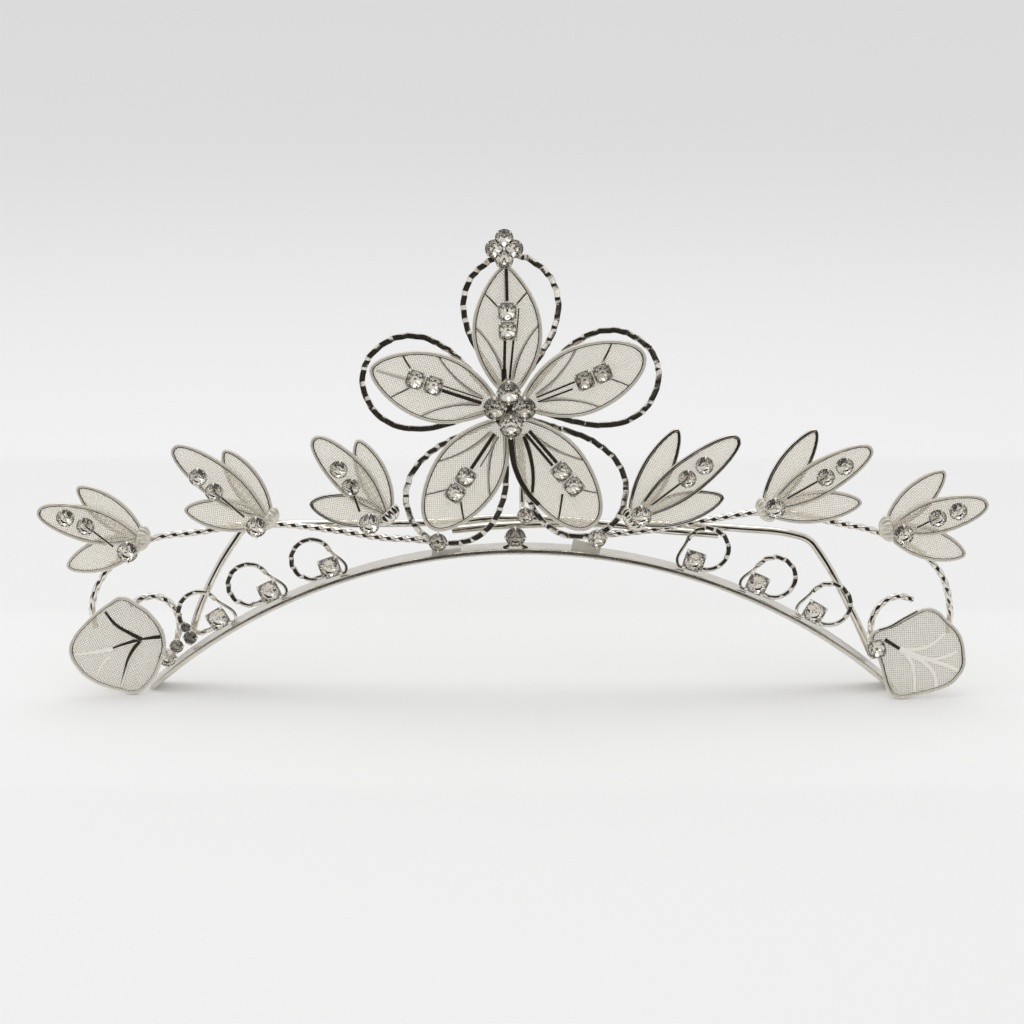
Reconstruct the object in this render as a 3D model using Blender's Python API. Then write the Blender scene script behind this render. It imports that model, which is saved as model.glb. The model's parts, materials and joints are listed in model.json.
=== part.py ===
"""Silver wire tiara: a curved band that carries wire scrolls, six leaf sprays and a large
five-petalled flower, all set with small clear stones.

Everything is laid out on an upright front plane: x to the right, height above the table,
and forward towards the viewer from the middle of the band's width. Sizes are in
millimetres, and MM turns them into metres. Angles are in degrees.
"""

from math import atan2, cos, degrees, pi, radians, sin, sqrt

import bmesh
import bpy
from mathutils import Vector

MM = 0.001

# The band is an arc of flat strip, standing on its two ends.
BAND_RADIUS = 88.9  # of its underside
BAND_THICKNESS = 1.0
BAND_WIDTH = 4.6
BAND_HALF_ANGLE = 41.6
BAND_STEPS = 43  # odd, so that the crown has a level facet
BAND_MIDDLE_X = 1.35
BAND_MIDDLE_Y = 2.1  # world y of the middle of the band's width
BAND_CENTRE_HEIGHT = -BAND_RADIUS * cos(radians(BAND_HALF_ANGLE))
BAND_TOP_RADIUS = BAND_RADIUS + BAND_THICKNESS

# Wires
BRACE_WIRE = 1.1
BRANCH_WIRE = 0.9
SCROLL_WIRE = 0.8
LOOP_WIRE = 1.0
STEM_WIRE = 0.8
POST_WIRE = 0.9

# Stones in their cups: width and depth
CROWN_STONE = (3.3, 1.8)
POST_STONE = (2.7, 1.6)
PETAL_STONE = (2.8, 1.8)
CENTRE_STONE = (3.7, 1.9)
CENTRE_PLATE = (6.4, 1.2)
TIP_STONE = (2.75, 1.5)
SPRAY_BASE_STONE = (3.4, 1.9)
SPRAY_STONE = (3.2, 1.5)
SCROLL_STONE = (3.4, 2.0)
END_STONE_LEFT = (2.4, 1.3)
END_STONE_RIGHT = (2.9, 1.5)
CUP_RINGS = ((0.7, 0), (1, 0.55), (0.6, 1))  # share of the width, share of the depth

# Every leaf and petal is a thin dished plate with a raised rim and a ridge along it.
RIM_WIDTH = 0.7
RIM_THICKNESS = 0.7
PANEL_THICKNESS = 0.3
RIDGE_THICKNESS = 0.65
TIP_HALF_WIDTH = 0.35

# The flower leans back from the band.
FLOWER_CENTRE = (-0.55, 45.7, -0.34)
FLOWER_LEAN = 4
PETAL_START = 1.6
PETAL_LENGTH = 23.0
PETAL_HALF_WIDTH = 5.5
PETAL_FULLNESS = 0.75
PETAL_CUP = 0.5
PETAL_LAYER = 0.8  # distance in front of the loops' own plane
STEM_LAYER = 1.9
PETAL_HEADINGS = {"top": 92, "left": 163.6, "right": 22.4, "lower_left": 236.5, "lower_right": 304.8}
STEM_HEADINGS = {"top": 91.5, "left": 163.6, "right": 22.4, "lower_left": 236.5, "lower_right": 310}
# Each loop of wire behind a petal: its heading and length.
LOOPS = {
    "top": (89.5, 24.2),
    "left": (165, 23.8),
    "right": (17.5, 24.2),
    "lower_left": (237.5, 24.5),
    "lower_right": (309.7, 24.7),
}
LOOP_HALF = ((2.6, 0.9), (5.6, 2.8), (8.9, 5.0), (13.0, 6.9), (18.0, 7.2), (22.0, 4.8), (24.0, 0))
LOOP_STONES = {"lower_left": (-11.4, -21.3), "lower_right": (13.8, -20.7)}
LOOP_STONE = (3.0, 1.9)
PETAL_STONES = (12.6, 15.6)  # distances of a petal's two stones from the flower's middle
STEM_SPAN = (4.6, 16.6)
CENTRE_STONES = ((0.1, 2.9), (-2.4, 0), (2.5, 0), (0.2, -2.9))
TIP_STONES = ((-0.9, 27.05), (-2.55, 25.3), (0.75, 25.3), (-0.9, 23.55))

# Each spray: x and height of its base stone, of the collar that gathers its leaves, and
# of the tips of its middle, upper and lower leaf.
SPRAYS = (
    ((-60.9, 23.5), (-58.3, 25.0), (-75.3, 29.7), (-68.9, 33.6), (-71.0, 20.4)),
    ((-40.5, 27.6), (-38.2, 28.0), (-53.6, 40.1), (-45.6, 39.6), (-52.1, 29.9)),
    ((-22.7, 28.1), (-19.4, 28.5), (-31.5, 41.7), (-24.6, 41.3), (-32.3, 30.9)),
    ((20.1, 29.4), (18.4, 27.9), (35.5, 41.7), (25.9, 43.0), (33.3, 32.0)),
    ((41.1, 30.6), (39.3, 29.5), (56.4, 40.0), (47.6, 42.9), (55.1, 31.1)),
    ((61.4, 26.3), (58.6, 26.6), (75.0, 31.0), (68.0, 36.2), (71.8, 22.4)),
)
SPRAY_LAYER = 1.7
SPRAY_FULLNESS = 0.62
SPRAY_STONES = (8.2, 11.7)  # distances of the two stones from the base stone
SPRAY_LEAVES = ((3.0, 0.45), (2.5, 0.0), (2.7, 0.17))  # half width and depth in the fan

# Each scroll: angle along the band, height of its stone over the band, then the middle of
# its loop, outwards from the stone and over the band, and the loop's radius.
SCROLLS = (
    (-19.3, 2.3, 2.5, 4.1, 3.2),
    (-25.8, 2.3, 2.7, 4.4, 3.3),
    (-31.65, 2.3, 2.3, 4.5, 3.3),
    (17.2, 2.3, 1.6, 4.4, 3.45),
    (23.9, 2.3, 2.4, 4.05, 3.35),
    (30.3, 2.3, 1.8, 4.3, 3.45),
)
SCROLL_LAYER = 0.9

# The two broad leaves at the band's ends lean back and stand on the table. Each: x and
# height of its base, how far in front of the band it stands, its lean, heading and length.
END_LEAVES = {
    "left": (-55.4, 8.92, 4.2, 8, 187.7, 15.7),
    "right": (58.3, 9.5, 6.5, 18, -18.2, 14.3),
}
# Their outline: share of the length, then the half widths on the outer and lower side.
END_LEAF_OUTLINE = (
    (0.0, 2.2, 1.4),
    (0.10, 4.2, 4.5),
    (0.22, 6.1, 6.9),
    (0.38, 7.7, 8.2),
    (0.51, 7.0, 7.6),
    (0.69, 5.4, 6.4),
    (0.83, 3.8, 5.0),
    (0.94, 2.1, 3.0),
    (1.0, 0.5, 0.6),
)


# ---- materials ----


def material(name, colour, roughness, metallic):
    """A Principled material of one colour."""
    made = bpy.data.materials.new(name)
    made.use_nodes = True
    shader = made.node_tree.nodes["Principled BSDF"]
    shader.inputs["Base Color"].default_value = (*colour, 1)
    shader.inputs["Roughness"].default_value = roughness
    shader.inputs["Metallic"].default_value = metallic
    return made


def clear_scene():
    """Empty the scene before anything is built."""
    for obj in list(bpy.data.objects):
        bpy.data.objects.remove(obj)


# ---- shapes ----


def add_object(name, data, look, parent, location=(0, 0, 0), turn=0):
    """One named object on its parent's plane, turned in that plane."""
    data.name = name
    if not data.materials:
        data.materials.append(look)
    made = bpy.data.objects.new(name, data)
    bpy.context.collection.objects.link(made)
    made.parent = parent
    made.location = [value * MM for value in location]
    made.rotation_euler = (0, 0, radians(turn))
    return made


def add_plane(name, parent, location, lean):
    """An empty that carries a flat layout: x right, y up, z towards the viewer."""
    made = bpy.data.objects.new(name, None)
    bpy.context.collection.objects.link(made)
    made.parent = parent
    made.location = [value * MM for value in location]
    made.rotation_euler = (radians(lean), 0, 0)
    return made


def loft(rings):
    """A mesh through rings of points, closed by a flat face at each end."""
    shape = bmesh.new()
    loops = [[shape.verts.new(Vector(point) * MM) for point in ring] for ring in rings]
    for near, far in zip(loops, loops[1:]):
        for i in range(len(near)):
            shape.faces.new((near[i - 1], near[i], far[i], far[i - 1]))
    shape.faces.new(loops[0])
    shape.faces.new(loops[-1])
    bmesh.ops.recalc_face_normals(shape, faces=shape.faces)
    bmesh.ops.triangulate(shape, faces=shape.faces)
    mesh = bpy.data.meshes.new("loft")
    shape.to_mesh(mesh)
    shape.free()
    return mesh


def smooth(points, step):
    """Points about one step apart along a smooth curve through the given ones."""
    points = [Vector(point) for point in points]
    spans = [(far - near).length for near, far in zip(points, points[1:])]
    chords = [(far - near) / span for near, far, span in zip(points, points[1:], spans)]
    slopes = [chords[0]]
    for i in range(1, len(chords)):
        weighted = chords[i - 1] * spans[i] + chords[i] * spans[i - 1]
        slopes.append(weighted / (spans[i] + spans[i - 1]))
    slopes.append(chords[-1])
    path = []
    for i, span in enumerate(spans):
        count = max(1, round(span / step))
        for k in range(count):
            t = k / count
            near = points[i] * (2 * t**3 - 3 * t**2 + 1) + slopes[i] * span * (t**3 - 2 * t**2 + t)
            far = points[i + 1] * (3 * t**2 - 2 * t**3) + slopes[i + 1] * span * (t**3 - t**2)
            path.append(near + far)
    return [*path, points[-1]]


def wire(name, path, thickness, look, parent, location=(0, 0, 0), turn=0):
    """Round wire along a path, with six sides and flat ends."""
    curve = bpy.data.curves.new(name, "CURVE")
    curve.dimensions = "3D"
    curve.bevel_depth = thickness / 2 * MM
    curve.bevel_resolution = 1
    curve.use_fill_caps = True
    spline = curve.splines.new("POLY")
    spline.points.add(len(path) - 1)
    for point, place in zip(spline.points, path):
        point.co = (*(Vector(place) * MM), 1)
    return add_object(name, curve, look, parent, location, turn)


def fuse(name, look, parent, pieces):
    """Join overlapping solids into one closed body named name, on the parent's plane."""
    bpy.context.view_layer.update()
    graph = bpy.context.evaluated_depsgraph_get()
    bodies = []
    for piece in pieces:
        mesh = bpy.data.meshes.new_from_object(piece.evaluated_get(graph))
        mesh.transform(parent.matrix_world.inverted() @ piece.matrix_world)
        bodies.append(add_object(name + "_body", mesh, look, parent))
        if piece.type == "CURVE":
            close_wire(mesh)
    whole, *others = bodies
    for other in others:
        join = whole.modifiers.new("join", "BOOLEAN")
        join.operation = "UNION"
        join.solver = "EXACT"
        join.object = other
    bpy.context.view_layer.update()
    graph = bpy.context.evaluated_depsgraph_get()
    joined = bpy.data.meshes.new_from_object(whole.evaluated_get(graph))
    for spent in [*pieces, *bodies]:
        bpy.data.objects.remove(spent)
    joined.materials.clear()
    return add_object(name, joined, look, parent)


def close_wire(mesh):
    """Sew a wire's end caps to its sides, which Blender leaves apart."""
    shape = bmesh.new()
    shape.from_mesh(mesh)
    bmesh.ops.remove_doubles(shape, verts=shape.verts, dist=0.00001)
    bmesh.ops.recalc_face_normals(shape, faces=shape.faces)
    bmesh.ops.triangulate(shape, faces=shape.faces)
    shape.to_mesh(mesh)
    shape.free()


def leaf(outline, cup=0.0):
    """A leaf along x: flat back, raised rim, thin panel and a ridge along its middle.

    The outline gives, at each distance along the leaf, its half widths above and below.
    A cup lifts the edges towards the viewer.
    """
    widest = max(max(above, below) for _, above, below in outline)
    rings = []
    for along, above, below in outline:
        rim_above = min(RIM_WIDTH, 0.45 * above)
        rim_below = min(RIM_WIDTH, 0.45 * below)
        section = (
            (-below, RIM_THICKNESS),
            (-below + rim_below, PANEL_THICKNESS),
            (0, RIDGE_THICKNESS),
            (above - rim_above, PANEL_THICKNESS),
            (above, RIM_THICKNESS),
            (above, 0),
            (-below, 0),
        )
        rings.append([(along, side, level + cup * (side / widest) ** 2) for side, level in section])
    return loft(rings)


def pointed_outline(start, end, half_width, fullness, steps):
    """Outline of a leaf that comes to a point at both ends."""
    outline = []
    for i in range(steps + 1):
        share = (1 - cos(pi * i / steps)) / 2
        half = max(TIP_HALF_WIDTH, half_width * sin(pi * share) ** fullness)
        outline.append((start + (end - start) * share, half, half))
    return outline


def setting(across, depth, sides=8):
    """A stone in its cup, facing the viewer: tapered back, full rim and a smaller flat top."""
    corner = across / 2 if sides > 4 else across / sqrt(2)
    rings = []
    for share, level in CUP_RINGS:
        ring = []
        for i in range(sides):
            angle = 2 * pi * (i + 0.5) / sides
            ring.append((corner * share * cos(angle), corner * share * sin(angle), depth * level))
        rings.append(ring)
    return loft(rings)


def polar(heading, distance, forward=0.0):
    """Point at a distance from the middle of a layout, in a given heading."""
    return (distance * cos(radians(heading)), distance * sin(radians(heading)), forward)


def heading_of(direction):
    """Angle of a flat direction."""
    return degrees(atan2(direction.y, direction.x))


def on_band(angle, lift, forward=0.0):
    """Point over the band's top at an angle from its crown, positive to the right."""
    radius = BAND_TOP_RADIUS + lift
    across = BAND_MIDDLE_X + radius * sin(radians(angle))
    return (across, BAND_CENTRE_HEIGHT + radius * cos(radians(angle)), forward)


# ---- the band and its braces ----


def build_band(front, look):
    """Flat strip bent to an arc, cut square at both ends."""
    rings = []
    for i in range(BAND_STEPS + 1):
        angle = BAND_HALF_ANGLE * (2 * i / BAND_STEPS - 1)
        corners = ((-BAND_THICKNESS, -1), (0, -1), (0, 1), (-BAND_THICKNESS, 1))
        rings.append([on_band(angle, lift, side * BAND_WIDTH / 2) for lift, side in corners])
    add_object("band", loft(rings), look, front)


def build_braces(front, look):
    """Two bent wires behind the flower that overlap there, each with one foot on the band."""
    left = (
        (-52.3, 6.7, -1.2),
        (-49.4, 15.0, -1.1),
        (-44.3, 24.2, -0.9),
        (-42.8, 26.0, -0.9),
        (-40.6, 26.5, -0.9),
        (-9.3, 27.2, -0.6),
        (-2.2, 27.8, -0.6),
        (13.8, 26.95, -0.6),
        (23.3, 25.8, -0.7),
        (32.6, 25.0, -0.8),
    )
    right = (
        (57.7, 4.9, -1.2),
        (54.0, 12.7, -1.3),
        (48.6, 22.2, -1.7),
        (47.2, 23.8, -1.8),
        (45.2, 24.6, -1.9),
        (37.0, 25.6, -2.05),
        (13.8, 26.4, -2.1),
        (-2.2, 26.1, -2.1),
        (-9.8, 25.4, -2.1),
    )
    wire("brace_left", smooth(left, 6), BRACE_WIRE, look, front)
    wire("brace_right", smooth(right, 6), BRACE_WIRE, look, front)


def build_branches(front, look):
    """The twisted wires that carry the sprays, from the flower out to the end leaves."""
    left = (
        (-66.9, 10.0, 0.9),
        (-67.3, 13.0, 0.9),
        (-65.5, 18.4, 0.9),
        (-58.6, 24.2, 0.9),
        (-49.8, 25.9, 0.9),
        (-40.0, 27.2, 0.9),
        (-28.7, 26.2, 0.9),
        (-20.4, 24.9, 0.9),
        (-16.5, 24.6, 0.4),
        (-12.0, 23.9, -0.3),
    )
    right = (
        (69.6, 9.2, 0.9),
        (69.7, 13.4, 0.9),
        (67.2, 20.2, 0.9),
        (58.7, 25.5, 0.9),
        (51.2, 27.4, 0.9),
        (41.5, 29.2, 0.9),
        (30.6, 27.8, 0.9),
        (21.0, 26.1, 0.9),
        (16.9, 25.5, 0.2),
        (13.1, 24.9, -0.3),
    )
    wire("branch_wire_left", smooth(left, 4.5), BRANCH_WIRE, look, front)
    wire("branch_wire_right", smooth(right, 4.5), BRANCH_WIRE, look, front)


def build_post(front, wire_look, stone_look):
    """The wire that holds the flower up, with a stone at its foot, and the crown's stone."""
    path = (
        (1.4, 28.9, 0.9),
        (1.4, 29.9, -0.35),
        (1.4, 31.2, -0.8),
        (1.4, 38.0, -1.15),
        (0.7, 42.5, -1.45),
        (-0.3, 45.2, -1.65),
    )
    post = wire("post", smooth(path, 3), POST_WIRE, wire_look, front)
    stone = add_object("stone", setting(*POST_STONE), stone_look, front, (1.4, 28.6, 0.25))
    fuse("post_wire", wire_look, front, (post, stone))
    add_object("crown_stone", setting(*CROWN_STONE), stone_look, front, (0.3, 25.4, 1.2))


# ---- the flower ----


def build_petals(flower, look):
    """Five dished petals, pointed at both ends."""
    outline = pointed_outline(PETAL_START, PETAL_LENGTH, PETAL_HALF_WIDTH, PETAL_FULLNESS, 9)
    for side, heading in PETAL_HEADINGS.items():
        petal = leaf(outline, PETAL_CUP)
        add_object("petal_" + side, petal, look, flower, (0, 0, PETAL_LAYER), heading)


def build_petal_loops(flower, look):
    """A loop of wire behind each petal. The two lowest each carry a stone at their end."""
    there = [(along, across, 0) for along, across in LOOP_HALF]
    back = [(along, -across, 0) for along, across in reversed(LOOP_HALF[:-1])]
    for side, (heading, length) in LOOPS.items():
        scale = length / LOOP_HALF[-1][0]
        path = smooth([Vector(point) * scale for point in there + back], 3.2)
        name = "petal_loop_" + side
        if side not in LOOP_STONES:
            wire(name, path, LOOP_WIRE, look, flower, turn=heading)
            continue
        x, y = LOOP_STONES[side]
        loop = wire("loop", path, LOOP_WIRE, look, flower, turn=heading)
        stone = add_object("stone", setting(*LOOP_STONE), look, flower, (x, y, 0.1))
        fuse(name, look, flower, (loop, stone))


def build_petal_stems(flower, wire_look):
    """A straight wire along each petal that carries two square stones."""
    for side, heading in STEM_HEADINGS.items():
        ends = [polar(heading, distance, STEM_LAYER + 0.5) for distance in STEM_SPAN]
        pieces = [wire("stem", ends, STEM_WIRE, wire_look, flower)]
        for distance in PETAL_STONES:
            place = polar(heading, distance, STEM_LAYER + 0.2)
            stone = setting(*PETAL_STONE, 4)
            pieces.append(add_object("stone", stone, wire_look, flower, place, heading))
        fuse("petal_stem_" + side, wire_look, flower, pieces)


def build_flower_stones(flower, look):
    """Four stones over the flower's middle, on one plate, and four at the top petal's tip."""
    plate = add_object("plate", setting(*CENTRE_PLATE), look, flower, (0, 0, STEM_LAYER))
    pieces = [plate]
    for x, y in CENTRE_STONES:
        stone = setting(*CENTRE_STONE)
        pieces.append(add_object("stone", stone, look, flower, (x, y, STEM_LAYER + 0.6)))
    fuse("flower_centre", look, flower, pieces)
    pieces = []
    for x, y in TIP_STONES:
        pieces.append(add_object("stone", setting(*TIP_STONE), look, flower, (x, y, STEM_LAYER)))
    fuse("tip_cluster", look, flower, pieces)


# ---- the sprays, scrolls and ends ----


def build_spray(number, spray, front, leaf_look, stone_look):
    """Three leaves fanned from a collar, a stem with two stones, and a stone at the base."""
    base, collar, *tips = (Vector(point) for point in spray)
    pieces = []
    for tip, (half_width, depth) in zip(tips, SPRAY_LEAVES):
        reach = tip - collar
        outline = pointed_outline(0.3, reach.length, half_width, SPRAY_FULLNESS, 6)
        place = (*collar, SPRAY_LAYER + depth)
        blade = leaf(outline)
        pieces.append(add_object("leaf", blade, leaf_look, front, place, heading_of(reach)))
    pieces.append(add_object("cap", collar_mesh(base, collar), leaf_look, front, (0, 0, SPRAY_LAYER)))
    fuse(f"spray_leaves_{number}", leaf_look, front, pieces)

    stone_layer = SPRAY_LAYER + 1.5
    heading = heading_of(tips[0] - base)
    middle = Vector((*base, stone_layer + 0.6))
    ends = [middle + Vector(polar(heading, distance)) for distance in (2.5, 11)]
    pieces = [wire("stem", ends, STEM_WIRE, stone_look, front)]
    for distance in SPRAY_STONES:
        place = Vector((*base, stone_layer)) + Vector(polar(heading, distance))
        pieces.append(add_object("stone", setting(*SPRAY_STONE), stone_look, front, place))
    fuse(f"spray_stem_{number}", stone_look, front, pieces)
    stone = setting(*SPRAY_BASE_STONE)
    add_object(f"spray_stone_{number}", stone, stone_look, front, (*base, stone_layer))


def collar_mesh(base, collar):
    """A flattened cone that gathers a spray's leaves, from its collar to just past its stone."""
    start, end = (*collar, 0.6), (*base, 0.6)
    start, end = Vector(start), Vector(end)
    along = (end - start).normalized()
    across = Vector((-along.y, along.x, 0))
    corners = ((1, 0.3), (0.5, 0.6), (-0.5, 0.6), (-1, 0.3))
    corners += tuple((-side, -level) for side, level in corners)
    rings = []
    for place, wide in ((start, 1.1), (end, 1.6), (end + along * 1.2, 1.2)):
        rings.append([place + across * wide * side + Vector((0, 0, level)) for side, level in corners])
    return loft(rings)


def build_scroll(number, scroll, front, wire_look, stone_look):
    """A curl of wire that springs from the band and comes round to the stone's foot."""
    angle, stone_lift, out, lift, radius = scroll
    side = 1 if angle > 0 else -1
    path = [(-2.0 * side, 0.55, 0)]
    for turn in range(172, -79, -25):
        x, y, _ = polar(turn, radius)
        path.append(((x + out) * side, y + lift, 0))
    place = on_band(angle, 0, SCROLL_LAYER)
    wire(f"scroll_{number}", path, SCROLL_WIRE, wire_look, front, place, -angle)
    stone = setting(*SCROLL_STONE, 4)
    place = on_band(angle, stone_lift, SCROLL_LAYER + 0.75)
    add_object(f"scroll_stone_{number}", stone, stone_look, front, place, -angle)


def build_ends(front, leaf_look, wire_look, stone_look):
    """Broad leaves that stand on the table, with a curl of wire and stones beside each."""
    for side, (x, height, foot, lean, heading, length) in END_LEAVES.items():
        plane = add_plane(f"end_leaf_plane_{side}", front, (0, 0, foot), -lean)
        outline = [(share * length, above, below) for share, above, below in END_LEAF_OUTLINE]
        if x < 0:
            outline = [(along, below, above) for along, above, below in outline]
        add_object("end_leaf_" + side, leaf(outline), leaf_look, plane, (x, height, 0), heading)

    path = (
        (-61.3, 13.6, 0.6),
        (-59.0, 14.9, 0.4),
        (-56.2, 14.7, 0),
        (-53.8, 11.6, -0.35),
        (-54.6, 5.4, -0.35),
    )
    wire("end_scroll_left", smooth(path, 2.5), BRANCH_WIRE, wire_look, front)
    path = ((57.7, 5.6), (57.2, 9.6), (57.9, 12.6), (59.7, 14.6), (61.9, 15.2), (63.8, 14.6))
    path = [(x, height, 0.7) for x, height in path]
    wire("end_scroll_right", smooth(path, 2.5), BRANCH_WIRE, wire_look, front)

    pieces = []
    for angle, lift in ((-38.2, 1.9), (-36.75, 1.8), (-35.3, 2.2)):
        stone = setting(*END_STONE_LEFT, 4)
        place = on_band(angle, lift, 1.65)
        pieces.append(add_object("stone", stone, stone_look, front, place, -angle))
    fuse("end_stones_left", stone_look, front, pieces)
    add_object("end_stone_right", setting(*END_STONE_RIGHT), stone_look, front, (58.5, 6.9, 5.6))


def main():
    clear_scene()
    silver = material("bright_silver", (0.80, 0.80, 0.79), 0.12, 1)
    twisted = material("twisted_wire_silver", (0.70, 0.70, 0.70), 0.2, 1)
    gauze = material("silver_gauze", (0.72, 0.71, 0.68), 0.45, 1)
    stones = material("clear_stones", (0.75, 0.75, 0.74), 0.08, 0)

    front = add_plane("front_plane", None, (0, BAND_MIDDLE_Y, 0), 90)
    flower = add_plane("flower_plane", front, FLOWER_CENTRE, -FLOWER_LEAN)
    build_band(front, silver)
    build_braces(front, silver)
    build_branches(front, twisted)
    build_post(front, silver, stones)
    build_petals(flower, gauze)
    build_petal_loops(flower, twisted)
    build_petal_stems(flower, stones)
    build_flower_stones(flower, stones)
    for number, spray in enumerate(SPRAYS, 1):
        build_spray(number, spray, front, gauze, stones)
    for number, scroll in enumerate(SCROLLS, 1):
        build_scroll(number, scroll, front, twisted, stones)
    build_ends(front, gauze, twisted, stones)


main()
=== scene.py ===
"""A silver wire tiara, built up on its band in the order that its maker would solder it.

Pieces are laid out on an upright front plane: x to the right, height above the table, and
forward towards the viewer from the middle of the band's width. Layouts are in millimetres.
"""

import json
from functools import partial
from math import asin, atan2, cos, degrees, hypot, pi, radians, sin

import bmesh
import bpy
from mathutils import Matrix, Vector

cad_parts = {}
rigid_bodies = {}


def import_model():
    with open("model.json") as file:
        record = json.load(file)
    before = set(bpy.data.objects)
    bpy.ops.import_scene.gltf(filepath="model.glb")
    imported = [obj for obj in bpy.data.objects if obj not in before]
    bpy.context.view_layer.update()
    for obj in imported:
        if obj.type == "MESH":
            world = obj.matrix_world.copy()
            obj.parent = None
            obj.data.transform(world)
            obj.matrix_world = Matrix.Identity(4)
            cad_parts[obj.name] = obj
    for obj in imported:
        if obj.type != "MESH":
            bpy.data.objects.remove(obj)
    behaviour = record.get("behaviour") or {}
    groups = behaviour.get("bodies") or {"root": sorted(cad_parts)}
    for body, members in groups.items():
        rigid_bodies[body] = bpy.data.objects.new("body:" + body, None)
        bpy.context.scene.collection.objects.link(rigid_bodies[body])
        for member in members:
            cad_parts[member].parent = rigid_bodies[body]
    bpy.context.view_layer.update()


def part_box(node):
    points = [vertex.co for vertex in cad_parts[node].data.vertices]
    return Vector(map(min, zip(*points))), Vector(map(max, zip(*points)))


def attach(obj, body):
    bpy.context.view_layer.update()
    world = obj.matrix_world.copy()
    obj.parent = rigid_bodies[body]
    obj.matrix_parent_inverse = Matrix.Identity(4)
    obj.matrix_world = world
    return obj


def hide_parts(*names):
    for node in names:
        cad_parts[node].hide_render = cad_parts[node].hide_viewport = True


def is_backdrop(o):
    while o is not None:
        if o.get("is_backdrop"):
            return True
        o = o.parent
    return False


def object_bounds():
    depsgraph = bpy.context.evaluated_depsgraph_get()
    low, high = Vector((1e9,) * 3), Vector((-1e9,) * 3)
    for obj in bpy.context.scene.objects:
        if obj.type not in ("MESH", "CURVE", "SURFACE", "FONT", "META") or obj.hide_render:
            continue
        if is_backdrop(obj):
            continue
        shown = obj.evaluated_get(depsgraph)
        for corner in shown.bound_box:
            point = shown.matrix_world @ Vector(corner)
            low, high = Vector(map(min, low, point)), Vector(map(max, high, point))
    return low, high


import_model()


# ---- the band ----
# A strip of half-hard brass, rolled with softened edges, bent to an arc and silver plated.
# Everything else is soldered to it. It stands on its two square-cut ends.

MM = 0.001
band_low, band_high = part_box("band")
MIDDLE_Y = (band_low.y + band_high.y) / 2
BAND_WIDTH = (band_high.y - band_low.y) / MM
BAND_THICKNESS = 1.0
BAND_RADIUS = 88.9  # of its underside
BAND_TOP_RADIUS = BAND_RADIUS + BAND_THICKNESS
BAND_MIDDLE_X = (band_low.x + band_high.x) / 2 / MM
BAND_HALF_ANGLE = degrees(asin((band_high.x - band_low.x) / 2 / MM / BAND_TOP_RADIUS))
BAND_CENTRE_HEIGHT = band_high.z / MM - BAND_TOP_RADIUS
FRONT_PLANE = Matrix.Translation((0, MIDDLE_Y, 0)) @ Matrix.Rotation(radians(90), 4, "X")


def node(tree, kind, inputs=(), **settings):
    """Add a node of a kind to a tree, or take a node it has, and set its settings and its inputs.

    Inputs come in order or by name. Each is a value, an output, the outputs of a node, which
    stand for the first of them, or a list of these where a socket joins them.
    """
    made = kind
    if isinstance(kind, str):
        names = [family + kind for family in ("GeometryNode", "ShaderNode", "FunctionNode", "Node")]
        made = tree.nodes.new(next(name for name in names if hasattr(bpy.types, name)))
    for name, value in settings.items():
        setattr(made, name, value)
    for key, value in inputs.items() if isinstance(inputs, dict) else enumerate(inputs):
        for source in value if isinstance(value, list) else [value]:
            if isinstance(source, bpy.types.bpy_prop_collection):
                source = source[0]
            if isinstance(source, bpy.types.NodeSocket):
                tree.links.new(source, made.inputs[key])
            else:
                made.inputs[key].default_value = source
    return made.outputs


def linear(text):
    """The linear colour of an sRGB hex value."""
    shares = [int(text[i : i + 2], 16) / 255 for i in (1, 3, 5)]
    return (*(s / 12.92 if s <= 0.04045 else ((s + 0.055) / 1.055) ** 2.4 for s in shares), 1)


def material(name):
    """A new material, a function that adds nodes to it, and its shader."""
    made = bpy.data.materials.new(name)
    made.use_nodes = True
    return made, partial(node, made.node_tree), made.node_tree.nodes["Principled BSDF"]


def mottle(add, bright, dull, grain, detail, rough):
    """A tone that drifts between two colours over a grain in millimetres, and the drift itself."""
    place = add("TexCoord")["Object"]
    pattern = {"Vector": place, "Scale": 1 / (grain * MM), "Detail": detail, "Roughness": rough}
    drift = add("TexNoise", pattern)["Fac"]
    tones = {"Factor": drift, 6: linear(bright), 7: linear(dull)}
    return add("Mix", tones, data_type="RGBA")[2], drift


def silver(name, bright, dull, roughness, grain, relief, metallic=1.0):
    """Silver plate: a bright metal whose gloss and tone drift a little over the surface.

    The roughness is a low and a high value. The grain is the size of the drift, and the
    relief the depth of its ripple, both in millimetres. The lower the metallic value, the
    thicker the white film that plating and soldering leave until they are polished off.
    """
    made, add, shader = material(name)
    tone, drift = mottle(add, bright, dull, grain, detail=4, rough=0.6)
    low, high = roughness
    spread = {"Value": drift, "From Min": 0.3, "From Max": 0.7, "To Min": low, "To Max": high}
    gloss = add("MapRange", spread)
    ripple = add("Bump", {"Height": drift, "Strength": 1.0, "Distance": relief * MM})
    add(shader, {"Base Color": tone, "Metallic": metallic, "Roughness": gloss, "Normal": ripple})
    return made


def start_tree(name, **sockets):
    """A Geometry Nodes tree with named inputs, a function that adds nodes to it, and its inputs."""
    tree = bpy.data.node_groups.new(name, "GeometryNodeTree")
    for way in ("INPUT", "OUTPUT"):
        tree.interface.new_socket("Geometry", in_out=way, socket_type="NodeSocketGeometry")
    for kind, labels in sockets.items():
        for label in labels.split():
            tree.interface.new_socket(label, in_out="INPUT", socket_type="NodeSocket" + kind)
    return tree, partial(node, tree), node(tree, "GroupInput")


def end_tree(add, geometry, look):
    """Finish a tree: realize what it made, give it its material and send it out."""
    real = add("RealizeInstances", [geometry])
    add("GroupOutput", [add("SetMaterial", {0: real, "Material": look})])


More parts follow.
